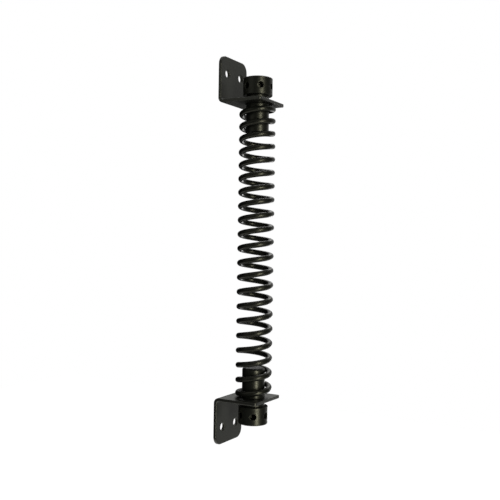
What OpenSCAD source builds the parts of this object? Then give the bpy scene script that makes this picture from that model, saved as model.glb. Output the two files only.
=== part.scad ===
// Gate spring closer: an open coil spring between two screw-on angle brackets.
// At each end the wire hooks into a spindle, which turns in the foot of a bracket and is wound up
// with a bar in the holes of its drum.
// The origin is the middle of the lower screw holes, on the mounting face. Z runs up the spring.
// The mounting faces look along +Y and the spring stands in front of them, towards -Y.

/* [Overall] */
// Distance between the feet of the two brackets, on their spring sides
foot_gap = 189; // [160:1:240]
// Distance of the axis of the spring from the mounting faces
axis_offset = 20; // [17:0.5:26]

/* [Bracket strip] */
// Width of the strip
strip_width = 32; // [28:0.5:44]
// Thickness of the strip
strip_thickness = 2; // [1.5:0.1:3]
// Radius inside the bend
bend_radius = 1.5; // [1:0.1:3]
// Length of the screw plate, from the spring side of the foot to its end
plate_length = 31; // [30:0.5:44]
// Radius of the end corners of the screw plate
plate_corner = 6; // [2:0.5:8]
// Reach of the foot in front of the axis
foot_reach = 11; // [9:0.5:16]
// Radius of the front corners of the foot
foot_corner = 1.5; // [0.5:0.25:4]

/* [Screw holes] */
// Diameter of a screw hole
screw_hole = 5; // [4:0.1:6]
// Distance between the two screw holes of a plate
screw_spacing = 16; // [12:0.5:20]
// Distance of the screw holes from the spring side of the foot
screw_height = 20; // [18:0.5:24]

/* [Spring] */
// Diameter of the wire
wire = 3.6; // [2.6:0.1:4]
// Mean diameter of the coil, measured at the middle of the wire
coil_mean = 20; // [18.5:0.1:24]
// Turns from tang to tang
turns = 21; // [15:1:24]
// Direction in which both tangs point in towards the axis, in degrees from +X
tang_angle = 47; // [0:1:90]
// Radius, at the middle of the wire, of the bend from coil to tang
tang_bend = 2.6; // [2.4:0.1:3]
// Depth to which a tang goes into its spindle
tang_depth = 4; // [3:0.1:4.5]
// Share by which the pitch is wider than the mean at the bottom and narrower at the top
pitch_lean = 0.091; // [0:0.001:0.1]
// Share by which the turns stand closer at both ends than in the middle
end_closing = 0.025; // [0:0.001:0.06]

/* [Spindles] */
// Length of the spigot inside the spring
spigot_length = 19; // [14:0.5:26]
// Bevel on the free end of the spigot
spigot_bevel = 1; // [0.5:0.1:2]
// Diameter of the journal that turns in the foot
journal_width = 9; // [7:0.1:9.4]
// Diameter of the tenon that carries the drum
tenon_width = 6.4; // [5:0.1:6.6]
// Depth of the countersink that the riveted end of the tenon fills
rivet_sink = 1.2; // [0.6:0.1:1.6]
// Height of the riveted end above the drum
rivet_rise = 0.6; // [0.3:0.1:1]

/* [Spacers] */
// Diameter of the ring between foot and drum
spacer_width = 14.6; // [13:0.2:16]
// Height of that ring
spacer_height = 3; // [2:0.1:4]

/* [Drums] */
// Diameter of a drum
drum_width = 19; // [18:0.5:24]
// Height of a drum
drum_height = 11.5; // [9:0.5:14]
// Bevel on the two rims of a drum
drum_bevel = 0.4; // [0.2:0.1:0.8]
// Diameter of a bar hole
bar_hole = 4; // [3:0.1:4.6]
// Metal left between the floor of a bar hole and the tenon
bar_hole_floor = 1.2; // [1:0.1:1.6]
// Number of bar holes round a drum
bar_holes = 6; // [4:1:6]
// Direction of the first bar hole of the upper drum, in degrees from +X
upper_turn = 40; // [0:1:60]
// Direction of the first bar hole of the lower drum, in degrees from +X
lower_turn = 30; // [0:1:60]

/* [Fits] */
// Radial clearance of a journal in its foot
running_clearance = 0.05; // [0.02:0.01:0.1]
// Play of a foot along the axis, on each of its two sides
axial_play = 0.2; // [0.1:0.05:0.4]
// Room between the spigot and the inside of the coil
spigot_clearance = 0.8; // [0.7:0.1:1.6]
// Room round a tang in the hole of its spindle
tang_clearance = 0.2; // [0.1:0.05:0.3]
// Metal left between the tang hole and the shoulder of the spindle
shoulder_web = 0.5; // [0.4:0.1:1]

/* [Hidden] */
$fn = 64;
overcut = 1;
cut_depth = 4 * strip_thickness;
black_paint = [0.11, 0.11, 0.10];
black_turned = [0.15, 0.15, 0.14];
black_wire = [0.18, 0.18, 0.16];

// Heights along the axis, from the spring side of a foot outwards
bend_outside = bend_radius + strip_thickness;
spacer_base = strip_thickness + axial_play;
drum_base = spacer_base + spacer_height;
drum_top = drum_base + drum_height;
spigot_end = axial_play + spigot_length;
tang_drop = axial_play + shoulder_web + tang_clearance + wire / 2;

// Radii about the axis
journal_radius = journal_width / 2;
tenon_radius = tenon_width / 2;
drum_radius = drum_width / 2;
spigot_radius = (coil_mean - wire) / 2 - spigot_clearance;
rivet_radius = tenon_radius + rivet_sink;

// Route of the wire: tang, bend, coil, bend, tang
coil_radius = coil_mean / 2;
tang_tip = spigot_radius - tang_depth;
bend_angle = asin(tang_bend / (coil_radius - tang_bend));
coil_sweep = 360 * turns - 2 * bend_angle;
coil_bottom = tang_drop;
coil_top = foot_gap - tang_drop;
rise_ramp = 180;
rings_per_turn = 16;
bend_rings = 5;
wire_sides = 6;

// Turn that counts for the height: the wire leaves each tang level and takes up its slope in a ramp
function risen(turn) =
    turn < rise_ramp ? turn * turn / (2 * rise_ramp)
    : turn > coil_sweep - rise_ramp
        ? coil_sweep - rise_ramp - pow(coil_sweep - turn, 2) / (2 * rise_ramp)
        : turn - rise_ramp / 2;

// Height of the coil after a given turn, with the pitch wider at the bottom and close at the ends
function spread(share) =
    share + pitch_lean * share * (1 - share) - end_closing * sin(360 * share) / (2 * PI);
function coil_height(turn) =
    coil_bottom + (coil_top - coil_bottom) * spread(risen(turn) / (coil_sweep - rise_ramp));

// A point at a radius and a direction about the axis
function polar(radius, angle, height) = [radius * cos(angle), radius * sin(angle), height];

// Bend between tang and coil, seen from its centre; side is 1 at the bottom and -1 at the top
function bend_point(step, side, height) =
    let (centre = polar(coil_radius - tang_bend, tang_angle + side * bend_angle, height))
    let (from = tang_angle - side * 90)
    let (angle = from + side * (90 + bend_angle) * step / bend_rings)
    centre + polar(tang_bend, angle, 0);

function wire_route() =
    let (steps = ceil(coil_sweep / 360 * rings_per_turn))
    concat(
        [polar(tang_tip, tang_angle, coil_bottom)],
        [for (i = [0 : bend_rings - 1]) bend_point(i, 1, coil_bottom)],
        [for (i = [0 : steps])
            let (turn = coil_sweep * i / steps)
            polar(coil_radius, tang_angle + bend_angle + turn, coil_height(turn))],
        [for (i = [bend_rings - 1 : -1 : 0]) bend_point(i, -1, coil_top)],
        [polar(tang_tip, tang_angle, coil_top)]
    );

// Ring of points round the wire, square to the route
function along(route, i) =
    let (last = len(route) - 1)
    let (step = route[min(i + 1, last)] - route[max(i - 1, 0)])
    step / norm(step);
function wire_ring(route, i) =
    let (forward = along(route, i))
    let (level = [forward[1], -forward[0], 0])
    let (outward = level / norm(level))
    let (upward = cross(forward, outward))
    [for (k = [0 : wire_sides - 1])
        route[i] + wire / 2 * (cos(360 * k / wire_sides) * outward + sin(360 * k / wire_sides) * upward)];

// Least room between two places on the wire that are half a turn or more apart
function least_gap(route) =
    min([for (i = [0 : len(route) - 1], j = [i + rings_per_turn / 2 : 1 : len(route) - 1])
        norm(route[i] - route[j])]) - wire;

module wire_tube(route) {
    rings = len(route);
    last = (rings - 1) * wire_sides;
    skin = [for (i = [0 : rings - 2], k = [0 : wire_sides - 1], half = [0, 1])
        let (here = i * wire_sides)
        let (next = here + wire_sides)
        let (beside = (k + 1) % wire_sides)
        half == 0 ? [here + k, next + k, next + beside] : [here + k, next + beside, here + beside]];
    first_cap = [for (k = [1 : wire_sides - 2]) [0, k, k + 1]];
    last_cap = [for (k = [1 : wire_sides - 2]) [last, last + k + 1, last + k]];
    polyhedron(
        points = [for (i = [0 : rings - 1]) each wire_ring(route, i)],
        faces = concat(skin, first_cap, last_cap)
    );
}

// Places an end assembly: its axis is Z and its foot starts at zero and points away from the spring
module at_upper_foot() {
    translate([0, -axis_offset, screw_height + foot_gap])
        children();
}

module at_lower_foot() {
    translate([0, -axis_offset, screw_height])
        mirror([0, 0, 1])
            children();
}

// Side view of the strip, across and along: foot, bend and plate
module strip_profile() {
    translate([-foot_reach, 0])
        square([foot_reach + axis_offset - bend_outside, strip_thickness]);
    translate([axis_offset - strip_thickness, bend_outside])
        square([strip_thickness, plate_length - bend_outside]);
    translate([axis_offset - bend_outside, bend_outside])
        intersection() {
            difference() {
                circle(r = bend_outside);
                circle(r = bend_radius);
            }
            translate([0, -bend_outside])
                square(bend_outside);
        }
}

// What is cut from a corner at the origin, whose metal lies towards -X and -Y
module corner_waste(radius, depth) {
    translate([-radius, -radius, -depth / 2])
        difference() {
            cube([radius + overcut, radius + overcut, depth]);
            translate([0, 0, -overcut])
                cylinder(r = radius, h = depth + 2 * overcut);
        }
}

// Leaves a shape on the +X side, or mirrors it to the -X side
module on_side(side) {
    mirror([side < 0 ? 1 : 0, 0, 0])
        children();
}

module bracket() {
    difference() {
        rotate([90, 0, 90])
            linear_extrude(height = strip_width, center = true)
                strip_profile();
        for (side = [-1, 1]) {
            translate([side * screw_spacing / 2, axis_offset, screw_height])
                rotate([90, 0, 0])
                    cylinder(d = screw_hole, h = cut_depth, center = true);
            translate([0, axis_offset, plate_length])
                rotate([90, 0, 0])
                    on_side(side)
                        translate([strip_width / 2, 0, 0])
                            corner_waste(plate_corner, cut_depth);
            translate([0, -foot_reach, 0])
                on_side(side)
                    mirror([0, 1, 0])
                        translate([strip_width / 2, 0, 0])
                            corner_waste(foot_corner, cut_depth);
        }
        translate([0, 0, -overcut])
            cylinder(r = journal_radius + running_clearance, h = strip_thickness + 2 * overcut);
    }
}

// Spigot with its bevelled end, shoulder, journal, and tenon riveted over in the drum
module spindle() {
    difference() {
        rotate_extrude()
            polygon([
                [0, -spigot_end],
                [spigot_radius - spigot_bevel, -spigot_end],
                [spigot_radius, -spigot_end + spigot_bevel],
                [spigot_radius, -axial_play],
                [journal_radius, -axial_play],
                [journal_radius, drum_base],
                [tenon_radius, drum_base],
                [tenon_radius, drum_top - rivet_sink],
                [rivet_radius, drum_top],
                [rivet_radius - rivet_rise, drum_top + rivet_rise],
                [0, drum_top + rivet_rise]
            ]);
        rotate([0, 0, tang_angle])
            translate([tang_tip, 0, -tang_drop])
                rotate([0, 90, 0])
                    cylinder(d = wire + 2 * tang_clearance, h = spigot_radius);
    }
}

module spacer() {
    translate([0, 0, spacer_base])
        difference() {
            cylinder(d = spacer_width, h = spacer_height);
            translate([0, 0, -overcut])
                cylinder(r = journal_radius, h = spacer_height + 2 * overcut);
        }
}

module drum(first_hole) {
    difference() {
        rotate_extrude()
            polygon([
                [tenon_radius, drum_base],
                [drum_radius - drum_bevel, drum_base],
                [drum_radius, drum_base + drum_bevel],
                [drum_radius, drum_top - drum_bevel],
                [drum_radius - drum_bevel, drum_top],
                [rivet_radius, drum_top],
                [tenon_radius, drum_top - rivet_sink]
            ]);
        for (i = [0 : bar_holes - 1])
            rotate([0, 0, first_hole + 360 * i / bar_holes])
                translate([tenon_radius + bar_hole_floor, 0, drum_base + drum_height / 2])
                    rotate([0, 90, 0])
                        cylinder(d = bar_hole, h = drum_radius);
    }
}

module lower_bracket() {
    color(black_paint)
        at_lower_foot()
            bracket();
}

module lower_spindle() {
    color(black_turned)
        at_lower_foot()
            spindle();
}

module lower_spacer() {
    color(black_turned)
        at_lower_foot()
            spacer();
}

module lower_drum() {
    color(black_turned)
        at_lower_foot()
            drum(lower_turn);
}

module coil_spring() {
    route = wire_route();
    echo(least_gap_of_the_wire_to_itself = least_gap(route));
    color(black_wire)
        translate([0, -axis_offset, screw_height])
            wire_tube(route);
}

module upper_spindle() {
    color(black_turned)
        at_upper_foot()
            spindle();
}

module upper_spacer() {
    color(black_turned)
        at_upper_foot()
            spacer();
}

module upper_drum() {
    color(black_turned)
        at_upper_foot()
            drum(upper_turn);
}

module upper_bracket() {
    color(black_paint)
        at_upper_foot()
            bracket();
}

lower_bracket();
lower_spindle();
lower_spacer();
lower_drum();
coil_spring();
upper_spindle();
upper_spacer();
upper_drum();
upper_bracket();
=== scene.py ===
import math

import bmesh
import bpy
from mathutils import Matrix, Vector


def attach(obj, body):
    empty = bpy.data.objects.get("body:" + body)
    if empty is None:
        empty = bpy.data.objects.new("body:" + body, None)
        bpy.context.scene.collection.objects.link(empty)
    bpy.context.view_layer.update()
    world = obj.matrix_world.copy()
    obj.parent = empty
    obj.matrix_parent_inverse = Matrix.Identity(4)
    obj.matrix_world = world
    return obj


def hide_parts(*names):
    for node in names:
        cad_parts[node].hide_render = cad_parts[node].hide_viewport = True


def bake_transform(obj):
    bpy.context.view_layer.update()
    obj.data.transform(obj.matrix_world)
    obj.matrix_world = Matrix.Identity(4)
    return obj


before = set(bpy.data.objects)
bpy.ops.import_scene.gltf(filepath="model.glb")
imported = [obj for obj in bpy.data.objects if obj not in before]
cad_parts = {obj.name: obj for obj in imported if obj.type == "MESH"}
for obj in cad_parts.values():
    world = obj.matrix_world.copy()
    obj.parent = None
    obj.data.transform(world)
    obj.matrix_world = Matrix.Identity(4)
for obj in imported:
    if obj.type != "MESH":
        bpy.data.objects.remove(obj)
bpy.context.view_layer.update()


# Brackets. Each is a blank of 2 mm steel strip, sheared with rounded ends and pierced for two screws
# and a spindle, then bent to an L in a press. The shears roll the edge over on the drum's side and
# leave it sharper on the other. Satin black paint covers it all and is thinnest along the edges, which
# are painted paler, partly as rubbed paint and partly as a painted edge highlight.
MM = 0.001
SEAM = 0.000001
FULL_TURN = 2 * math.pi
QUARTER_TURN = FULL_TURN / 4
ENDS = ("lower", "upper")
FOOT_HEIGHT = {"lower": 20, "upper": 209}
OUTWARD = {"lower": -1, "upper": 1}
AXIS_OFFSET = 20
STRIP_WIDTH = 32
STRIP_THICKNESS = 2
BEND_INSIDE = 1.5
BEND_OUTSIDE = BEND_INSIDE + STRIP_THICKNESS
PLATE_LENGTH = 31
PLATE_CORNER = 6
FOOT_REACH = 11
FOOT_CORNER = 1.5
SCREW_HOLE = 5
SCREW_SPACING = 16
SCREW_HEIGHT = 20
FOOT_HOLE = 9.1
EDGE_ROLL = 0.45
EDGE_SHARP = 0.18
FLAT_MARGIN = 0.08
EDGE_STEPS = 4
BEND_STEPS = 14
CORNER_STEPS = 14
HOLE_STEPS = 64

# Lengths along the flat blank, from the front of the foot
FOOT_FLAT = FOOT_REACH + AXIS_OFFSET - BEND_OUTSIDE
BEND_FLAT = QUARTER_TURN * (BEND_INSIDE + STRIP_THICKNESS / 2)
PLATE_START = FOOT_FLAT + BEND_FLAT
BLANK_LENGTH = PLATE_START + PLATE_LENGTH - BEND_OUTSIDE

# Texture scales per metre, and how strongly each shows in the paint
CLOUDS = {"Scale": 90, "Detail": 4, "Roughness": 0.6}
SPECKS = {"Scale": 900, "Detail": 3, "Roughness": 0.65}
ORANGE_PEEL = {"Scale": 1500, "Detail": 2, "Roughness": 0.5}
ROLLED_STREAKS = (2600, 150, 150)
ROLLED_SHARE = 0.25
PEEL_SHARE = 0.6
RELIEF_STRENGTH = 0.3
RELIEF_DEPTH = 0.00003
WEAR_AND_HIGHLIGHT_BEGINS = 0.24
WEAR_AND_HIGHLIGHT_FULL = 0.62
WEAR_AND_HIGHLIGHT_MOST = 0.75
RUB_POLISH = 0.1
SPECK_LOW = 0.3
SPECK_HIGH = 0.7


def evenly(first, last, steps):
    """Values from first to last in equal steps."""
    return [first + (last - first) * step / steps for step in range(steps + 1)]


def node(tree, kind, feeds=None, **traits):
    """Adds a node; feeds gives inputs by name or number, each a value or the socket it comes from."""
    made = tree.nodes.new(kind)
    for trait, value in traits.items():
        setattr(made, trait, value)
    for name, value in (feeds or {}).items():
        if isinstance(value, bpy.types.NodeSocket):
            tree.links.new(value, made.inputs[name])
        else:
            made.inputs[name].default_value = value
    return made


def maths(tree, operation, *values, clamp=False):
    """Result of a Math node on sockets and numbers."""
    feeds = dict(enumerate(values))
    return node(tree, "ShaderNodeMath", feeds, operation=operation, use_clamp=clamp).outputs[0]


def black_paint(name, tone, cloud_tone, wear_and_highlight_tone, shine, shine_tint, roughness, metal_grain):
    """Satin black paint: clouded tone, orange peel over the grain of the metal, and paler edges that are
    partly rubbed paint and partly a painted edge highlight.
    """
    paint = bpy.data.materials.new(name)
    paint.use_nodes = True
    tree = paint.node_tree
    surface = tree.nodes["Principled BSDF"]
    place = node(tree, "ShaderNodeTexCoord").outputs["Object"]
    clouds = node(tree, "ShaderNodeTexNoise", {"Vector": place, **CLOUDS}).outputs["Fac"]
    specks = node(tree, "ShaderNodeTexNoise", {"Vector": place, **SPECKS}).outputs["Fac"]
    peel = node(tree, "ShaderNodeTexNoise", {"Vector": place, **ORANGE_PEEL}).outputs["Fac"]
    edge = node(tree, "ShaderNodeAttribute", attribute_name="wear_and_highlight").outputs["Fac"]
    # Along the edges the colour is painted paler, partly as rubbed paint and partly as a painted
    # highlight, and the paint is made a little glossier there.
    rubbed_and_highlit = node(tree, "ShaderNodeMapRange", {
        "Value": maths(tree, "MULTIPLY", edge, specks), "From Min": WEAR_AND_HIGHLIGHT_BEGINS, "From Max": WEAR_AND_HIGHLIGHT_FULL,
        "To Min": 0, "To Max": WEAR_AND_HIGHLIGHT_MOST}).outputs[0]
    clouded = node(tree, "ShaderNodeMix", {
        0: clouds, 6: (*tone, 1), 7: (*cloud_tone, 1)}, data_type="RGBA").outputs[2]
    colour = node(tree, "ShaderNodeMix", {
        0: rubbed_and_highlit, 6: clouded, 7: (*wear_and_highlight_tone, 1)}, data_type="RGBA").outputs[2]
    satin = node(tree, "ShaderNodeMapRange", {
        "Value": specks, "From Min": SPECK_LOW, "From Max": SPECK_HIGH,
        "To Min": roughness[0], "To Max": roughness[1]}).outputs[0]
    satin = maths(tree, "MULTIPLY_ADD", rubbed_and_highlit, -RUB_POLISH, satin)
    relief = maths(tree, "MULTIPLY_ADD", peel, PEEL_SHARE, metal_grain(tree, place))
    bump = node(tree, "ShaderNodeBump", {
        "Strength": RELIEF_STRENGTH, "Distance": RELIEF_DEPTH, "Height": relief}).outputs[0]
    tree.links.new(colour, surface.inputs["Base Color"])
    tree.links.new(satin, surface.inputs["Roughness"])
    tree.links.new(bump, surface.inputs["Normal"])
    surface.inputs["Specular IOR Level"].default_value = shine
    surface.inputs["Specular Tint"].default_value = (*shine_tint, 1)
    return paint


def rolled_grain(tree, place):
    """Faint streaks that run along the rolled strip, fine across its width."""
    drawn = node(tree, "ShaderNodeMapping", {"Vector": place, "Scale": ROLLED_STREAKS}).outputs[0]
    streaks = node(tree, "ShaderNodeTexNoise", {"Vector": drawn, "Scale": 1, "Detail": 2}).outputs["Fac"]
    return maths(tree, "MULTIPLY", streaks, ROLLED_SHARE)


def at_end(end, x, y, z):
    """Where a point of an end assembly lies in the frame, given in mm from the axis and its foot."""
    return Vector((x, y - AXIS_OFFSET, FOOT_HEIGHT[end] + OUTWARD[end] * z)) * MM


def placed_mesh(name, shell, place):
    """Moves every point to its place and turns the shape into a mesh."""
    for spot in shell.verts:
        spot.co = place(*spot.co)
    mesh = bpy.data.meshes.new(name)
    shell.to_mesh(mesh)
    shell.free()
    return mesh


def finished_piece(name, mesh, body, cad_node):
    """Closes the seams, turns all faces outwards, and puts the piece on its body for its CAD node."""
    shell = bmesh.new()
    shell.from_mesh(mesh)
    bmesh.ops.remove_doubles(shell, verts=shell.verts, dist=SEAM)
    bmesh.ops.recalc_face_normals(shell, faces=shell.faces)
    for face in shell.faces:
        face.smooth = True
    shell.to_mesh(mesh)
    shell.free()
    piece = bpy.data.objects.new(name, mesh)
    bpy.context.scene.collection.objects.link(piece)
    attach(piece, body)
    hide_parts(cad_node)


def corner_points(across, along, radius, start):
    """Quarter arc on the blank as (across, along, normal across, normal along)."""
    points = []
    for degrees in evenly(start, start + 90, CORNER_STEPS):
        out_across = math.cos(math.radians(degrees))
        out_along = math.sin(math.radians(degrees))
        points.append((across + radius * out_across, along + radius * out_along, out_across, out_along))
    return points


def hole_points(across, along, width):
    """Round hole in the blank, with normals that point to its middle."""
    points = []
    for turn in evenly(0, FULL_TURN, HOLE_STEPS)[:-1]:
        in_across = -math.cos(turn)
        in_along = -math.sin(turn)
        points.append((across - width / 2 * in_across, along - width / 2 * in_along, in_across, in_along))
    return points


def blank_outlines():
    """Outer edge and the three holes of the flat blank; all normals point out of the metal."""
    foot_side = STRIP_WIDTH / 2 - FOOT_CORNER
    plate_side = STRIP_WIDTH / 2 - PLATE_CORNER
    plate_end = BLANK_LENGTH - PLATE_CORNER
    screw_row = PLATE_START + SCREW_HEIGHT - BEND_OUTSIDE
    outer = corner_points(foot_side, FOOT_CORNER, FOOT_CORNER, -90)
    outer += corner_points(plate_side, plate_end, PLATE_CORNER, 0)
    outer += corner_points(-plate_side, plate_end, PLATE_CORNER, 90)
    outer += corner_points(-foot_side, FOOT_CORNER, FOOT_CORNER, 180)
    return [
        outer,
        hole_points(-SCREW_SPACING / 2, screw_row, SCREW_HOLE),
        hole_points(SCREW_SPACING / 2, screw_row, SCREW_HOLE),
        hole_points(0, FOOT_REACH, FOOT_HOLE)]


def edge_rows():
    """Section of an edge from the sharp side to the rolled side: (set back, depth, wear and painted
    highlight).
    """
    sharp = []
    rolled = []
    for turn in evenly(0, QUARTER_TURN, EDGE_STEPS):
        rise = math.sin(turn)
        fall = math.cos(turn)
        sharp.append((EDGE_SHARP * (1 - rise), EDGE_SHARP * (1 - fall), rise))
        rolled.append((EDGE_ROLL * (1 - fall), STRIP_THICKNESS - EDGE_ROLL * (1 - rise), fall))
    first = (EDGE_SHARP + FLAT_MARGIN, 0, 0)
    last = (EDGE_ROLL + FLAT_MARGIN, STRIP_THICKNESS, 0)
    return [first, *sharp, *rolled, last]


def bent(across, along, depth):
    """Where a point of the flat blank lies on the bent bracket, in mm from the axis and the foot."""
    turn = QUARTER_TURN * (along - FOOT_FLAT) / BEND_FLAT
    if turn <= 0:
        return across, along - FOOT_REACH, depth
    if turn >= QUARTER_TURN:
        return across, AXIS_OFFSET - depth, BEND_OUTSIDE + along - PLATE_START
    radius = BEND_OUTSIDE - depth
    middle = AXIS_OFFSET - BEND_OUTSIDE
    return across, middle + radius * math.sin(turn), BEND_OUTSIDE - radius * math.cos(turn)


def join_rings(shell, rings):
    """Faces between closed rings of points, each ring joined to the next."""
    for ring, beyond in zip(rings, rings[1:]):
        for i in range(len(ring)):
            shell.faces.new((ring[i - 1], ring[i], beyond[i], beyond[i - 1]))


def bracket_mesh(name, end):
    """The flat blank with its edges, filled on both sides, cut across at the bend and folded."""
    blank = bmesh.new()
    wear_and_highlight = blank.verts.layers.float.new("wear_and_highlight")
    rims = ([], [])
    for outline in blank_outlines():
        rings = []
        for set_back, depth, rub_and_highlight in edge_rows():
            ring = []
            for across, along, out_across, out_along in outline:
                spot = blank.verts.new(
                    (across - set_back * out_across, along - set_back * out_along, depth))
                spot[wear_and_highlight] = rub_and_highlight
                ring.append(spot)
            rings.append(ring)
        join_rings(blank, rings)
        for rim, ring in zip(rims, (rings[0], rings[-1])):
            rim.extend(blank.edges.get((ring[i - 1], ring[i])) for i in range(len(ring)))
    for rim in rims:
        bmesh.ops.triangle_fill(blank, use_beauty=True, edges=rim)
    folds = evenly(FOOT_FLAT, PLATE_START, BEND_STEPS)
    for fold in (FOOT_FLAT - FLAT_MARGIN, *folds, PLATE_START + FLAT_MARGIN):
        everything = [*blank.verts, *blank.edges, *blank.faces]
        bmesh.ops.bisect_plane(
            blank, geom=everything, dist=SEAM, plane_co=(0, fold, 0), plane_no=(0, 1, 0))
    return placed_mesh(name, blank, lambda *spot: at_end(end, *bent(*spot)))


# The paler edge tone stands partly for rubbed paint and partly for a painted edge highlight.
bracket_paint = black_paint(
    "satin_black_strip", tone=(0.0058, 0.0062, 0.0055), cloud_tone=(0.0085, 0.0089, 0.0081),
    wear_and_highlight_tone=(0.0095, 0.0095, 0.0090), shine=0.42, shine_tint=(1, 1, 0.80), roughness=(0.36, 0.44),
    metal_grain=rolled_grain)
for end in ENDS:
    strip = bracket_mesh(f"{end}_bracket_strip", end)
    strip.materials.append(bracket_paint)
    finished_piece(f"{end}_bracket_strip", strip, f"{end}_bracket", f"{end}_bracket")


# Spindles. Each is turned from bar: a spigot with a bevelled tip that keeps the coil in line, a cross
# hole near the shoulder for the tang of the wire, a journal that runs in the foot, and a tenon that
# carries the drum and is hammered over into its countersink.
AXIAL_PLAY = 0.2
SHOULDER = -AXIAL_PLAY
SPIGOT_RADIUS = 7.4
SPIGOT_LENGTH = 19
SPIGOT_TIP = SHOULDER - SPIGOT_LENGTH
SPIGOT_BEVEL = 1
TIP_ROUND = 0.3
SHOULDER_ROUND = 0.1
JOURNAL_RADIUS = 4.5
TENON_RADIUS = 3.2
FIT_ROUND = 0.15
SPACER_BASE = STRIP_THICKNESS + AXIAL_PLAY
SPACER_THICKNESS = 3
DRUM_BASE = SPACER_BASE + SPACER_THICKNESS
DRUM_LENGTH = 11.5
DRUM_TOP = DRUM_BASE + DRUM_LENGTH
RIVET_SINK = 1.2
RIVET_RISE = 0.6
RIVET_RADIUS = TENON_RADIUS + RIVET_SINK
RIVET_DRAW_IN = 0.6
RIVET_EDGE_ROUND = 0.25
RIVET_CROWN_ROUND = 0.9
TANG_DIRECTION = math.radians(47)
TANG_HOLE_RADIUS = 2
TANG_HOLE_DEPTH = 4
TANG_HOLE_FLOOR = SPIGOT_RADIUS - TANG_HOLE_DEPTH
TANG_HOLE_ROUND = 0.1
TANG_HEIGHT = -2.7
TANG_BAND = (-6.4, -0.4)
HOLE_FLOOR_ROUND = 0.3
SECTORS = 6
COLUMNS = 16
BAND_ROWS = 12
HOLE_RINGS = 6
ROUND_STEPS = 4
HALF_SECTOR = FULL_TURN / SECTORS / 2
LATHE_RINGS = 3200
LATHE_SHARE = 0.55

# Angles of one whole turn, from the edge of the tang hole's sector
SECTOR_START = TANG_DIRECTION - HALF_SECTOR
LATHE_ANGLES = evenly(SECTOR_START, SECTOR_START + FULL_TURN, SECTORS * COLUMNS)


def rounded_profile(corners):
    """Turned section from (radius, height, rounding) corners: points (radius, height, wear and painted
    highlight) with every corner but the first and last rounded and a short straight margin kept on
    both sides of it."""
    points = [(corners[0][0], corners[0][1], 0)]
    for before, corner, after in zip(corners, corners[1:], corners[2:]):
        here = Vector(corner[:2])
        rounding = corner[2]
        back = (Vector(before[:2]) - here).normalized()
        ahead = (Vector(after[:2]) - here).normalized()
        half = math.acos(max(-1, min(1, back.dot(ahead)))) / 2
        sweep = math.pi - 2 * half
        reach = rounding / math.tan(half)
        margin = min(FLAT_MARGIN, rounding)
        centre = here + (back + ahead).normalized() * rounding / math.sin(half)
        first = here + back * reach - centre
        last = here + ahead * reach - centre
        points.append((*(here + back * (reach + margin)), 0))
        for share in evenly(0, 1, ROUND_STEPS):
            swept = first * math.sin((1 - share) * sweep) + last * math.sin(share * sweep)
            points.append((*(centre + swept / math.sin(sweep)), math.sin(math.pi * share)))
        points.append((*(here + ahead * (reach + margin)), 0))
    points.append((corners[-1][0], corners[-1][1], 0))
    return points


def turn_profile(shell, wear_and_highlight, points, angles):
    """Sweeps a turned section through the angles; a point on the axis is made once."""
    rows = []
    for radius, height, rub_and_highlight in points:
        row = []
        for angle in angles:
            if row and radius == 0:
                row.append(row[0])
                continue
            spot = shell.verts.new((radius * math.cos(angle), radius * math.sin(angle), height))
            spot[wear_and_highlight] = rub_and_highlight
            row.append(spot)
        rows.append(row)
    for row, beyond in zip(rows, rows[1:]):
        for i in range(1, len(row)):
            corners = dict.fromkeys((row[i - 1], row[i], beyond[i], beyond[i - 1]))
            shell.faces.new(list(corners))


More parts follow.
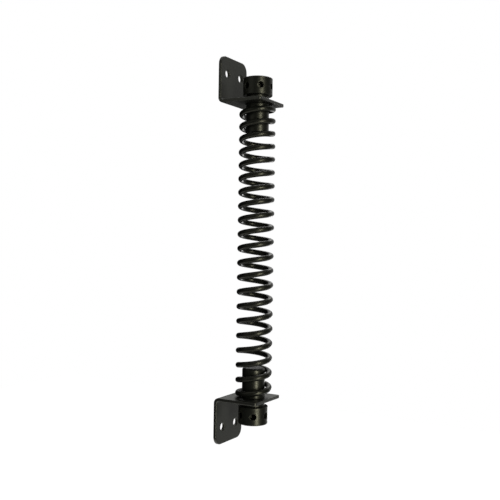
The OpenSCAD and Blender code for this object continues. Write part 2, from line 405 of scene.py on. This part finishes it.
def drilled_patch(shell, wear_and_highlight, direction, radius, band, hole_radius, hole_height, floor, rounding):
    """One sector of a turned side with a blind hole drilled square into it."""
    across = evenly(-HALF_SECTOR, HALF_SECTOR, COLUMNS)
    upward = evenly(*band, BAND_ROWS)
    border = [(angle, band[0]) for angle in across[:-1]]
    border += [(HALF_SECTOR, height) for height in upward[:-1]]
    border += [(angle, band[1]) for angle in across[:0:-1]]
    border += [(-HALF_SECTOR, height) for height in upward[:0:-1]]
    rays = [math.atan2(height - hole_height, radius * angle) for angle, height in border]
    facing = Matrix.Rotation(direction, 3, "Z")
    rings = []

    def add_ring(spots, rub_and_highlight=0):
        ring = []
        for spot in spots:
            made = shell.verts.new(facing @ Vector(spot))
            made[wear_and_highlight] = rub_and_highlight
            ring.append(made)
        rings.append(ring)

    def under_skin(width, sunk):
        """Circle round the hole's axis, sunk evenly under the turned skin."""
        spots = []
        for ray in rays:
            sideways = width * math.cos(ray)
            skin = math.sqrt(radius ** 2 - sideways ** 2)
            spots.append((skin - sunk, sideways, hole_height + width * math.sin(ray)))
        return spots

    def across_hole(width, out):
        """Flat circle round the hole's axis, at a distance from the axis of the piece."""
        return [(out, width * math.cos(ray), hole_height + width * math.sin(ray)) for ray in rays]

    mouth = hole_radius + rounding + FLAT_MARGIN / 2
    for share in evenly(0, 1, HOLE_RINGS):
        spots = []
        for (angle, height), ray in zip(border, rays):
            mouth_angle = math.asin(mouth * math.cos(ray) / radius)
            mouth_height = hole_height + mouth * math.sin(ray)
            turn = angle + (mouth_angle - angle) * share
            rise = height + (mouth_height - height) * share
            spots.append((radius * math.cos(turn), radius * math.sin(turn), rise))
        add_ring(spots)
    # The rounded mouth of the hole gets the paler edge tone: partly rubbed paint, partly a painted
    # highlight.
    for turn in evenly(0, QUARTER_TURN, ROUND_STEPS):
        width = hole_radius + rounding * (1 - math.sin(turn))
        add_ring(under_skin(width, rounding * (1 - math.cos(turn))), rub_and_highlight=math.sin(2 * turn))
    add_ring(under_skin(hole_radius, rounding + FLAT_MARGIN))
    for turn in evenly(0, QUARTER_TURN, ROUND_STEPS):
        width = hole_radius - HOLE_FLOOR_ROUND * (1 - math.cos(turn))
        add_ring(across_hole(width, floor + HOLE_FLOOR_ROUND * (1 - math.sin(turn))))
    add_ring(across_hole(hole_radius / 2, floor))
    join_rings(shell, rings)
    middle = shell.verts.new(facing @ Vector((floor, 0, hole_height)))
    inner = rings[-1]
    for i in range(len(inner)):
        shell.faces.new((inner[i - 1], inner[i], middle))


def turned_grain(tree, place):
    """Fine rings left by the lathe tool: they follow height and distance from the axis."""
    parts = node(tree, "ShaderNodeSeparateXYZ", {0: place}).outputs
    from_axis = maths(tree, "ADD", parts["Y"], AXIS_OFFSET * MM)
    level = node(tree, "ShaderNodeCombineXYZ", {"X": parts["X"], "Y": from_axis}).outputs[0]
    radius = node(tree, "ShaderNodeVectorMath", {0: level}, operation="LENGTH").outputs["Value"]
    section = node(tree, "ShaderNodeCombineXYZ", {"X": radius, "Y": parts["Z"]}).outputs[0]
    rings = node(tree, "ShaderNodeTexNoise", {
        "Vector": section, "Scale": LATHE_RINGS, "Detail": 1}).outputs["Fac"]
    return maths(tree, "MULTIPLY", rings, LATHE_SHARE)


def spindle_mesh(name, end):
    """Spigot, journal, tenon and rivet, with the tang's hole in one sector of the spigot."""
    shell = bmesh.new()
    wear_and_highlight = shell.verts.layers.float.new("wear_and_highlight")
    tip = rounded_profile([
        (0, SPIGOT_TIP, 0),
        (SPIGOT_RADIUS - SPIGOT_BEVEL, SPIGOT_TIP, TIP_ROUND),
        (SPIGOT_RADIUS, SPIGOT_TIP + SPIGOT_BEVEL, TIP_ROUND),
        (SPIGOT_RADIUS, TANG_BAND[0], 0)])
    tail = rounded_profile([
        (SPIGOT_RADIUS, TANG_BAND[1], 0),
        (SPIGOT_RADIUS, SHOULDER, SHOULDER_ROUND),
        (JOURNAL_RADIUS, SHOULDER, FIT_ROUND),
        (JOURNAL_RADIUS, DRUM_BASE, FIT_ROUND),
        (TENON_RADIUS, DRUM_BASE, FIT_ROUND),
        (TENON_RADIUS, DRUM_TOP - RIVET_SINK, FIT_ROUND),
        (RIVET_RADIUS, DRUM_TOP, RIVET_EDGE_ROUND),
        (RIVET_RADIUS - RIVET_DRAW_IN, DRUM_TOP + RIVET_RISE, RIVET_CROWN_ROUND),
        (0, DRUM_TOP + RIVET_RISE, 0)])
    side = [(SPIGOT_RADIUS, height, 0) for height in evenly(*TANG_BAND, BAND_ROWS)]
    turn_profile(shell, wear_and_highlight, tip, LATHE_ANGLES)
    turn_profile(shell, wear_and_highlight, tail, LATHE_ANGLES)
    turn_profile(shell, wear_and_highlight, side, LATHE_ANGLES[COLUMNS:])
    drilled_patch(
        shell, wear_and_highlight, TANG_DIRECTION, SPIGOT_RADIUS, TANG_BAND, TANG_HOLE_RADIUS, TANG_HEIGHT,
        TANG_HOLE_FLOOR, TANG_HOLE_ROUND)
    return placed_mesh(name, shell, lambda *spot: at_end(end, *spot))


# The paler edge tone stands partly for rubbed paint and partly for a painted edge highlight.
turned_paint = black_paint(
    "satin_black_turned", tone=(0.0032, 0.0036, 0.0031), cloud_tone=(0.0054, 0.0058, 0.0050),
    wear_and_highlight_tone=(0.020, 0.020, 0.018), shine=0.3, shine_tint=(1, 0.98, 0.74), roughness=(0.32, 0.40),
    metal_grain=turned_grain)
for end in ENDS:
    spindle = spindle_mesh(f"{end}_spindle_turned", end)
    spindle.materials.append(turned_paint)
    finished_piece(f"{end}_spindle_turned", spindle, f"{end}_adjuster", f"{end}_spindle")


# Spacers. A short ring parted off from bar and pushed on the journal keeps each drum clear of its foot.
# Both of its rims are broken with a file, and it is painted with the spindle.
SPACER_RADIUS = 7.3
SPACER_ROUND = 0.25
SPACER_MIDDLE = (SPACER_BASE + DRUM_BASE) / 2


def spacer_mesh(name, end):
    """The ring's section, started and ended half way up its outside."""
    shell = bmesh.new()
    wear_and_highlight = shell.verts.layers.float.new("wear_and_highlight")
    section = rounded_profile([
        (SPACER_RADIUS, SPACER_MIDDLE, 0),
        (SPACER_RADIUS, DRUM_BASE, SPACER_ROUND),
        (JOURNAL_RADIUS, DRUM_BASE, SPACER_ROUND),
        (JOURNAL_RADIUS, SPACER_BASE, SPACER_ROUND),
        (SPACER_RADIUS, SPACER_BASE, SPACER_ROUND),
        (SPACER_RADIUS, SPACER_MIDDLE, 0)])
    turn_profile(shell, wear_and_highlight, section, LATHE_ANGLES)
    return placed_mesh(name, shell, lambda *spot: at_end(end, *spot))


for end in ENDS:
    spacer = spacer_mesh(f"{end}_spacer_ring", end)
    spacer.materials.append(turned_paint)
    finished_piece(f"{end}_spacer_ring", spacer, f"{end}_adjuster", f"{end}_spacer")


# Drums. A turned drum is riveted to the tenon outside each foot, and six blind holes are drilled round
# it for the bar that winds up the spring. One slice with its hole is made and repeated round the axis.
DRUM_RADIUS = 9.5
DRUM_BEVEL = 0.4
DRUM_ROUND = 0.2
DRUM_RIM = 1.1
DRUM_BAND = (DRUM_BASE + DRUM_RIM, DRUM_TOP - DRUM_RIM)
BAR_HOLES = SECTORS
BAR_HOLE_RADIUS = 2
BAR_HOLE_HEIGHT = (DRUM_BASE + DRUM_TOP) / 2
BAR_HOLE_FLOOR = 4.4
BAR_HOLE_ROUND = 0.25
FIRST_HOLE = {"lower": math.radians(30), "upper": math.radians(40)}


def drum_slice(name, end):
    """One sixth of a drum about its axis at the origin, with its bar hole towards +X."""
    shell = bmesh.new()
    wear_and_highlight = shell.verts.layers.float.new("wear_and_highlight")
    section = rounded_profile([
        (DRUM_RADIUS, DRUM_BAND[0], 0),
        (DRUM_RADIUS, DRUM_BASE + DRUM_BEVEL, DRUM_ROUND),
        (DRUM_RADIUS - DRUM_BEVEL, DRUM_BASE, DRUM_ROUND),
        (TENON_RADIUS, DRUM_BASE, FIT_ROUND),
        (TENON_RADIUS, DRUM_TOP - RIVET_SINK, FIT_ROUND),
        (RIVET_RADIUS, DRUM_TOP, FIT_ROUND),
        (DRUM_RADIUS - DRUM_BEVEL, DRUM_TOP, DRUM_ROUND),
        (DRUM_RADIUS, DRUM_TOP - DRUM_BEVEL, DRUM_ROUND),
        (DRUM_RADIUS, DRUM_BAND[1], 0)])
    turn_profile(shell, wear_and_highlight, section, evenly(-HALF_SECTOR, HALF_SECTOR, COLUMNS))
    drilled_patch(
        shell, wear_and_highlight, 0, DRUM_RADIUS, DRUM_BAND, BAR_HOLE_RADIUS, BAR_HOLE_HEIGHT,
        BAR_HOLE_FLOOR, BAR_HOLE_ROUND)
    return placed_mesh(name, shell, lambda x, y, z: Vector((x, y, OUTWARD[end] * z)) * MM)


def new_tree(name, inputs):
    """A Geometry Nodes tree with named inputs; returns it, its input sockets and their identifiers."""
    tree = bpy.data.node_groups.new(name, "GeometryNodeTree")
    tree.interface.new_socket("Geometry", in_out="INPUT", socket_type="NodeSocketGeometry")
    names = {}
    for label, kind in inputs.items():
        names[label] = tree.interface.new_socket(label, in_out="INPUT", socket_type=kind).identifier
    tree.interface.new_socket("Geometry", in_out="OUTPUT", socket_type="NodeSocketGeometry")
    return tree, node(tree, "NodeGroupInput").outputs, names


def grown_mesh(name, start, tree, names, values):
    """Runs a tree on a start mesh with the given inputs and returns the result as a plain mesh."""
    carrier = bpy.data.objects.new(name, start)
    bpy.context.scene.collection.objects.link(carrier)
    modifier = carrier.modifiers.new("grown", "NODES")
    modifier.node_group = tree
    for label, value in values.items():
        modifier[names[label]] = value
    bpy.context.view_layer.update()
    graph = bpy.context.evaluated_depsgraph_get()
    mesh = bpy.data.meshes.new_from_object(
        carrier.evaluated_get(graph), preserve_all_data_layers=True, depsgraph=graph)
    carrier.modifiers.remove(modifier)
    bpy.data.objects.remove(carrier)
    mesh.name = name
    return mesh


drum_tree, given, drum_names = new_tree("drum_slices_round_axis", {
    "Holes": "NodeSocketInt", "First hole": "NodeSocketFloat", "Seat": "NodeSocketVector",
    "Seam": "NodeSocketFloat", "Paint": "NodeSocketMaterial"})
hole_step = maths(drum_tree, "DIVIDE", FULL_TURN, given["Holes"])
hole_number = node(drum_tree, "GeometryNodeInputIndex").outputs[0]
hole_angle = maths(drum_tree, "MULTIPLY_ADD", hole_number, hole_step, given["First hole"])
turn_about_axis = node(drum_tree, "ShaderNodeCombineXYZ", {"Z": hole_angle}).outputs[0]
turn_about_axis = node(drum_tree, "FunctionNodeEulerToRotation", {0: turn_about_axis}).outputs[0]
slots = node(drum_tree, "GeometryNodePoints", {"Count": given["Holes"]}).outputs[0]
slices = node(drum_tree, "GeometryNodeInstanceOnPoints", {
    "Points": slots, "Instance": given["Geometry"], "Rotation": turn_about_axis}).outputs[0]
slices = node(drum_tree, "GeometryNodeTransform", {
    "Geometry": slices, "Translation": given["Seat"]}).outputs[0]
whole = node(drum_tree, "GeometryNodeRealizeInstances", {"Geometry": slices}).outputs[0]
whole = node(drum_tree, "GeometryNodeMergeByDistance", {
    "Geometry": whole, "Distance": given["Seam"]}).outputs[0]
whole = node(drum_tree, "GeometryNodeSetMaterial", {
    "Geometry": whole, "Material": given["Paint"]}).outputs[0]
node(drum_tree, "NodeGroupOutput", {"Geometry": whole})

for end in ENDS:
    drum = grown_mesh(
        f"{end}_drum_drilled", drum_slice(f"{end}_drum_slice", end), drum_tree, drum_names, {
            "Holes": BAR_HOLES, "First hole": FIRST_HOLE[end], "Seat": at_end(end, 0, 0, 0),
            "Seam": SEAM, "Paint": turned_paint})
    finished_piece(f"{end}_drum_drilled", drum, f"{end}_adjuster", f"{end}_drum")


# Spring. Round spring wire, 3.6 mm thick, wound right-handed in open turns that stand a little wider at
# the bottom. At each end the wire bends in towards the axis and its tang sits in the cross hole of the
# spindle. It is one length of wire, so the tree draws the whole route and sweeps the section along it.
WIRE_DIAMETER = 3.6
COIL_RADIUS = 10
TURNS = 21
STEPS_PER_TURN = 72
TANG_BEND = 2.6
BEND_TURN = math.asin(TANG_BEND / (COIL_RADIUS - TANG_BEND))
SPRING_SIZES = {
    "Wire diameter": WIRE_DIAMETER * MM,
    "Coil radius": COIL_RADIUS * MM,
    "Coil sweep": FULL_TURN * TURNS - 2 * BEND_TURN,
    "Tang direction": TANG_DIRECTION,
    "Tang tip": TANG_HOLE_FLOOR * MM,
    "Bend radius": TANG_BEND * MM,
    "Bend turn": BEND_TURN,
    "Bottom": (FOOT_HEIGHT["lower"] - TANG_HEIGHT) * MM,
    "Top": (FOOT_HEIGHT["upper"] + TANG_HEIGHT) * MM,
    "Ramp": math.radians(180),
    "Lean": 0.091,
    "Closing": 0.025,
}
SPRING_COUNTS = {
    "Tang steps": 8,
    "Bend steps": 22,
    "Coil steps": STEPS_PER_TURN * TURNS,
    "Wire sides": 24,
}
DRAWN_LINES_ALONG = 90
DRAWN_LINES_AROUND = 60
DRAWN_SHARE = 0.4
wire_tree, given, wire_names = new_tree("spring_wire", {
    **dict.fromkeys(SPRING_SIZES, "NodeSocketFloat"), **dict.fromkeys(SPRING_COUNTS, "NodeSocketInt"),
    "Axis": "NodeSocketVector", "Paint": "NodeSocketMaterial"})


def calc(operation, *values, clamp=False):
    """Result of a Math node in the spring's tree."""
    return maths(wire_tree, operation, *values, clamp=clamp)


def about_axis(radius, angle, height):
    """A point at a radius and a direction about the axis."""
    return node(wire_tree, "ShaderNodeCombineXYZ", {
        "X": calc("MULTIPLY", radius, calc("COSINE", angle)),
        "Y": calc("MULTIPLY", radius, calc("SINE", angle)),
        "Z": height}).outputs[0]


def moved(point, by):
    """A point moved by a vector."""
    return node(wire_tree, "ShaderNodeVectorMath", {0: point, 1: by}, operation="ADD").outputs[0]


def either(test, false, true, kind):
    """One of two values, by a test."""
    choice = {"Switch": test, "False": false, "True": true}
    return node(wire_tree, "GeometryNodeSwitch", choice, input_type=kind).outputs[0]


# The wire has five stretches: tang, bend, coil, bend and tang
index = node(wire_tree, "GeometryNodeInputIndex").outputs[0]
bend_starts = given["Tang steps"]
coil_starts = calc("ADD", bend_starts, given["Bend steps"])
coil_ends = calc("ADD", coil_starts, given["Coil steps"])
bend_ends = calc("ADD", coil_ends, given["Bend steps"])
wire_ends = calc("ADD", bend_ends, given["Tang steps"])


def share_of(start, steps):
    """How much of a stretch lies behind a point of the wire, from 0 to 1."""
    return calc("DIVIDE", calc("SUBTRACT", index, start), steps, clamp=True)


# Tangs run straight to where the bend touches their line
bend_middle = calc("SUBTRACT", given["Coil radius"], given["Bend radius"])
bend_touch = calc("MULTIPLY", bend_middle, calc("COSINE", given["Bend turn"]))
tang_length = calc("SUBTRACT", bend_touch, given["Tang tip"])


def tang(share, height):
    """A point of a tang, from its tip at 0 to the bend at 1."""
    radius = calc("MULTIPLY_ADD", share, tang_length, given["Tang tip"])
    return about_axis(radius, given["Tang direction"], height)


# Bends turn a quarter and the bend turn more, from the tang's line to the coil
bend_sweep = calc("ADD", given["Bend turn"], QUARTER_TURN)
quarter_back = calc("SUBTRACT", given["Tang direction"], QUARTER_TURN)
lower_middle = calc("ADD", given["Tang direction"], given["Bend turn"])
upper_middle = calc("SUBTRACT", given["Tang direction"], given["Bend turn"])


def bend(share, first, middle_direction, height):
    """A point of a bend, from the direction in which it starts about its own middle."""
    middle = about_axis(bend_middle, middle_direction, height)
    angle = calc("MULTIPLY_ADD", share, bend_sweep, first)
    return moved(middle, about_axis(given["Bend radius"], angle, 0.0))


# The coil leaves each bend level and takes up its slope over the ramp
turn = calc("MULTIPLY", share_of(coil_starts, given["Coil steps"]), given["Coil sweep"])
left = calc("SUBTRACT", given["Coil sweep"], turn)
climb = calc("SUBTRACT", given["Coil sweep"], given["Ramp"])
two_ramps = calc("MULTIPLY", given["Ramp"], 2.0)
starting = calc("DIVIDE", calc("MULTIPLY", turn, turn), two_ramps)
ending = calc("SUBTRACT", climb, calc("DIVIDE", calc("MULTIPLY", left, left), two_ramps))
steady = calc("SUBTRACT", turn, calc("MULTIPLY", given["Ramp"], 0.5))
risen = either(calc("GREATER_THAN", turn, given["Ramp"]), starting, steady, "FLOAT")
risen = either(calc("GREATER_THAN", turn, climb), risen, ending, "FLOAT")
risen = calc("DIVIDE", risen, climb)

# Lean widens the turns at the bottom, and closing narrows those at both ends
wider = calc("MULTIPLY", calc("MULTIPLY", given["Lean"], risen), calc("SUBTRACT", 1.0, risen))
closer = calc("SINE", calc("MULTIPLY", risen, FULL_TURN))
closer = calc("MULTIPLY", calc("MULTIPLY", closer, given["Closing"]), 1 / FULL_TURN)
spread = calc("SUBTRACT", calc("ADD", risen, wider), closer)
span = calc("SUBTRACT", given["Top"], given["Bottom"])
height = calc("MULTIPLY_ADD", spread, span, given["Bottom"])

# Each stretch takes over from the one before it where it starts
lower_tang = tang(share_of(0.0, given["Tang steps"]), given["Bottom"])
lower_share = share_of(bend_starts, given["Bend steps"])
lower_bend = bend(lower_share, quarter_back, lower_middle, given["Bottom"])
coil = about_axis(given["Coil radius"], calc("ADD", lower_middle, turn), height)
upper_share = share_of(coil_ends, given["Bend steps"])
upper_bend = bend(upper_share, upper_middle, upper_middle, given["Top"])
inward_share = calc("SUBTRACT", 1.0, share_of(bend_ends, given["Tang steps"]))
upper_tang = tang(inward_share, given["Top"])
route = lower_tang
for start, stretch in (
        (bend_starts, lower_bend), (coil_starts, coil), (coil_ends, upper_bend), (bend_ends, upper_tang)):
    route = either(calc("GREATER_THAN", index, start), route, stretch, "VECTOR")

line = node(wire_tree, "GeometryNodeCurvePrimitiveLine").outputs[0]
line = node(wire_tree, "GeometryNodeResampleCurve", {
    "Curve": line, "Count": calc("ADD", wire_ends, 1.0)}).outputs[0]
line = node(wire_tree, "GeometryNodeSetPosition", {
    "Geometry": line, "Position": moved(route, given["Axis"])}).outputs[0]
line = node(wire_tree, "GeometryNodeSetCurveNormal", {"Curve": line}, mode="Z_UP").outputs[0]
measure = node(wire_tree, "GeometryNodeSplineParameter").outputs
line = node(wire_tree, "GeometryNodeStoreNamedAttribute", {
    "Geometry": line, "Name": "along", "Value": measure["Length"]}, data_type="FLOAT").outputs[0]
wire_radius = calc("MULTIPLY", given["Wire diameter"], 0.5)
section = node(wire_tree, "GeometryNodeCurvePrimitiveCircle", {
    "Resolution": given["Wire sides"], "Radius": wire_radius}).outputs[0]
section = node(wire_tree, "GeometryNodeStoreNamedAttribute", {
    "Geometry": section, "Name": "around", "Value": measure["Factor"]}, data_type="FLOAT").outputs[0]
tube = node(wire_tree, "GeometryNodeCurveToMesh", {
    "Curve": line, "Profile Curve": section, "Fill Caps": True}).outputs[0]
tube = node(wire_tree, "GeometryNodeRealizeInstances", {"Geometry": tube}).outputs[0]
tube = node(wire_tree, "GeometryNodeSetShadeSmooth", {"Geometry": tube}).outputs[0]
tube = node(wire_tree, "GeometryNodeSetMaterial", {
    "Geometry": tube, "Material": given["Paint"]}).outputs[0]
node(wire_tree, "NodeGroupOutput", {"Geometry": tube})


def drawn_grain(tree, place):
    """Faint lines along the drawn wire, from the distances along and around it."""
    along = node(tree, "ShaderNodeAttribute", attribute_name="along").outputs["Fac"]
    around = node(tree, "ShaderNodeAttribute", attribute_name="around").outputs["Fac"]
    flat = node(tree, "ShaderNodeCombineXYZ", {
        "X": maths(tree, "MULTIPLY", along, DRAWN_LINES_ALONG),
        "Y": maths(tree, "MULTIPLY", around, DRAWN_LINES_AROUND)}).outputs[0]
    lines = node(tree, "ShaderNodeTexNoise", {"Vector": flat, "Scale": 1, "Detail": 2}).outputs["Fac"]
    return maths(tree, "MULTIPLY", lines, DRAWN_SHARE)


wire_paint = black_paint(
    "satin_black_wire", tone=(0.0030, 0.0033, 0.0028), cloud_tone=(0.0048, 0.0051, 0.0044),
    wear_and_highlight_tone=(0.020, 0.020, 0.018), shine=0.24, shine_tint=(1, 0.98, 0.74), roughness=(0.30, 0.38),
    metal_grain=drawn_grain)
spring_mesh = grown_mesh(
    "spring_wire_coil", bpy.data.meshes.new("spring_start"), wire_tree, wire_names, {
        **SPRING_SIZES, **SPRING_COUNTS, "Axis": (0, -AXIS_OFFSET * MM, 0), "Paint": wire_paint})
spring = bpy.data.objects.new("spring_wire_coil", spring_mesh)
bpy.context.scene.collection.objects.link(spring)
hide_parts("coil_spring")
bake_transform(spring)


# Studio. A wide pale floor lies well below the closer, which hangs free in even white surroundings. A
# tall soft light stands to the right of the camera, a high and a low one at the back edge the turns
# with light, and weak ones stand to the left and overhead.
WHITE = (1, 1, 1, 1)
SKY_STRENGTH = 0.25
SEEN_STRENGTH = 1
FLOOR_HEIGHT = -1.2
FLOOR_REACH = 5
FLOOR_TONE = (0.8, 0.8, 0.8, 1)
FLOOR_LIFT = 0.84
SPRING_MIDDLE = Vector((0, -AXIS_OFFSET, sum(FOOT_HEIGHT.values()) / 2)) * MM
CAMERA_AZIMUTH = math.radians(-60)


def emptied_tree(shaded):
    """The node tree of a new material or world, with nothing in it."""
    shaded.use_nodes = True
    shaded.node_tree.nodes.clear()
    return shaded.node_tree


def seen_as_background(tree):
    """1 for rays that see the surroundings straight, in a reflection or through glass."""
    rays = node(tree, "ShaderNodeLightPath").outputs
    seen = maths(tree, "MAXIMUM", rays["Is Camera Ray"], rays["Is Glossy Ray"])
    return maths(tree, "MAXIMUM", seen, rays["Is Transmission Ray"])


def staged_mesh(name, points, faces, material):
    """Something of the studio, made from points and faces, that is no part of the closer."""
    mesh = bpy.data.meshes.new(name)
    mesh.from_pydata(points, [], faces)
    mesh.materials.append(material)
    thing = bpy.data.objects.new(name, mesh)
    bpy.context.scene.collection.objects.link(thing)
    return thing


surroundings = bpy.data.worlds.new("white_surroundings")
world_tree = emptied_tree(surroundings)
sky = node(world_tree, "ShaderNodeBackground", {"Color": WHITE, "Strength": SKY_STRENGTH}).outputs[0]
seen_sky = node(world_tree, "ShaderNodeBackground", {
    "Color": WHITE, "Strength": SEEN_STRENGTH}).outputs[0]
mixed_sky = node(world_tree, "ShaderNodeMixShader", {
    0: seen_as_background(world_tree), 1: sky, 2: seen_sky}).outputs[0]
node(world_tree, "ShaderNodeOutputWorld", {"Surface": mixed_sky})
bpy.context.scene.world = surroundings

floor_paper = bpy.data.materials.new("pale_floor_paper")
paper_tree = emptied_tree(floor_paper)
matt_paper = node(paper_tree, "ShaderNodeBsdfDiffuse", {"Color": FLOOR_TONE}).outputs[0]
paper_lift = maths(paper_tree, "MULTIPLY", seen_as_background(paper_tree), FLOOR_LIFT)
paper_glow = node(paper_tree, "ShaderNodeEmission", {"Color": WHITE, "Strength": paper_lift}).outputs[0]
lit_paper = node(paper_tree, "ShaderNodeAddShader", {0: matt_paper, 1: paper_glow}).outputs[0]
node(paper_tree, "ShaderNodeOutputMaterial", {"Surface": lit_paper})
floor_corners = [
    (x * FLOOR_REACH, y * FLOOR_REACH, FLOOR_HEIGHT) for x, y in ((-1, -1), (1, -1), (1, 1), (-1, 1))]
staged_mesh("pale_floor", floor_corners, [(0, 1, 2, 3)], floor_paper)

# Curved walls of cloth stand about the closer and show only in its reflections. Black ones keep the
# paint dark, the one behind the closer is low, and a pale one gives the plates their even sheen.
WALL_RADIUS = 1.7
WALL_STEPS = 24
WALL_TOP = 2.6
LOW_WALL_TOP = 0.5
LOW_WALL_FROM = 158
PALE_WALL_FROM = 112
BLACK_GLOW = 0.02
PALE_GLOW = 0.62


def cloth_wall(name, first, last, top, glow):
    """A wall of even brightness between two angles in degrees that count to the right of the camera."""
    cloth = bpy.data.materials.new(name)
    tree = emptied_tree(cloth)
    shade = node(tree, "ShaderNodeEmission", {"Color": WHITE, "Strength": glow}).outputs[0]
    node(tree, "ShaderNodeOutputMaterial", {"Surface": shade})
    points = []
    for degrees in evenly(first, last, WALL_STEPS):
        angle = CAMERA_AZIMUTH + math.radians(degrees)
        across = WALL_RADIUS * math.sin(angle)
        along = -WALL_RADIUS * math.cos(angle) - AXIS_OFFSET * MM
        points += [(across, along, FLOOR_HEIGHT), (across, along, top)]
    faces = [(2 * i, 2 * i + 1, 2 * i + 3, 2 * i + 2) for i in range(WALL_STEPS)]
    wall = staged_mesh(name, points, faces, cloth)
    wall.visible_camera = False
    wall.visible_diffuse = False
    wall.visible_shadow = False


cloth_wall("black_cloth", -LOW_WALL_FROM, PALE_WALL_FROM, WALL_TOP, BLACK_GLOW)
cloth_wall("black_cloth_behind", LOW_WALL_FROM, 360 - LOW_WALL_FROM, LOW_WALL_TOP, BLACK_GLOW)
cloth_wall("pale_cloth", PALE_WALL_FROM, LOW_WALL_FROM, WALL_TOP, PALE_GLOW)


def soft_light(name, azimuth, rise, distance, width, tall, power, tint):
    """An area light that looks at the middle of the spring; azimuth counts to the right of the camera."""
    angle = CAMERA_AZIMUTH + math.radians(azimuth)
    climb = math.radians(rise)
    level = math.cos(climb)
    towards = Vector((math.sin(angle) * level, -math.cos(angle) * level, math.sin(climb)))
    lamp = bpy.data.lights.new(name, "AREA")
    lamp.shape = "RECTANGLE"
    lamp.size = width
    lamp.size_y = tall
    lamp.energy = power
    lamp.color = tint
    stand = bpy.data.objects.new(name, lamp)
    stand.location = SPRING_MIDDLE + towards * distance
    stand.rotation_euler = towards.to_track_quat("Z", "Y").to_euler()
    stand.visible_camera = False
    bpy.context.scene.collection.objects.link(stand)


soft_light(
    "key_strip", azimuth=31, rise=-4, distance=0.95, width=0.22, tall=0.85, power=11.5,
    tint=(1, 0.99, 0.92))
soft_light(
    "left_fill", azimuth=-55, rise=20, distance=1.3, width=0.9, tall=0.9, power=1.2,
    tint=(0.97, 0.98, 1))
soft_light(
    "back_rim", azimuth=169, rise=45, distance=1.3, width=0.6, tall=0.6, power=4.5,
    tint=(1, 1, 1))
soft_light(
    "overhead", azimuth=10, rise=75, distance=1.2, width=0.8, tall=0.8, power=1.0,
    tint=(1, 1, 1))
soft_light(
    "low_back", azimuth=162, rise=-18, distance=1.3, width=0.4, tall=0.3, power=2.0,
    tint=(1, 1, 1))

# The camera stands about level with the middle of the spring, tipped and turned a little
CAMERA_DISTANCE = 0.4677
CAMERA_HEIGHT = 0.1167
CAMERA_PITCH = math.radians(0.196)
CAMERA_ROLL = math.radians(0.871)
CAMERA_YAW = math.radians(0.433)
CAMERA_NEAREST = 0.01
SENSOR_WIDTH = 36
IMAGE_WIDTH = 500
FOCAL_PIXELS = 723.9


def swung(first, second, angle):
    """Two square directions, both turned by an angle in their plane, the first towards the second."""
    return (first * math.cos(angle) + second * math.sin(angle),
            second * math.cos(angle) - first * math.sin(angle))


back = Vector((math.sin(CAMERA_AZIMUTH), -math.cos(CAMERA_AZIMUTH), 0))
right = Vector((math.cos(CAMERA_AZIMUTH), math.sin(CAMERA_AZIMUTH), 0))
ahead = -back * math.cos(CAMERA_PITCH) - Vector((0, 0, math.sin(CAMERA_PITCH)))
up = right.cross(ahead)
right, up = swung(right, up, CAMERA_ROLL)
right, ahead = swung(right, ahead, CAMERA_YAW)
eye = Vector((0, -AXIS_OFFSET * MM, CAMERA_HEIGHT)) + back * CAMERA_DISTANCE
camera = bpy.data.objects.new("photo_camera", bpy.data.cameras.new("photo_camera"))
camera.data.sensor_width = SENSOR_WIDTH
camera.data.lens = FOCAL_PIXELS / IMAGE_WIDTH * SENSOR_WIDTH
camera.data.clip_start = CAMERA_NEAREST
camera.matrix_world = Matrix((
    (right.x, up.x, -ahead.x, eye.x),
    (right.y, up.y, -ahead.y, eye.y),
    (right.z, up.z, -ahead.z, eye.z),
    (0, 0, 0, 1)))
bpy.context.scene.collection.objects.link(camera)
bpy.context.scene.camera = camera
bpy.context.scene.view_settings.view_transform = "Standard"
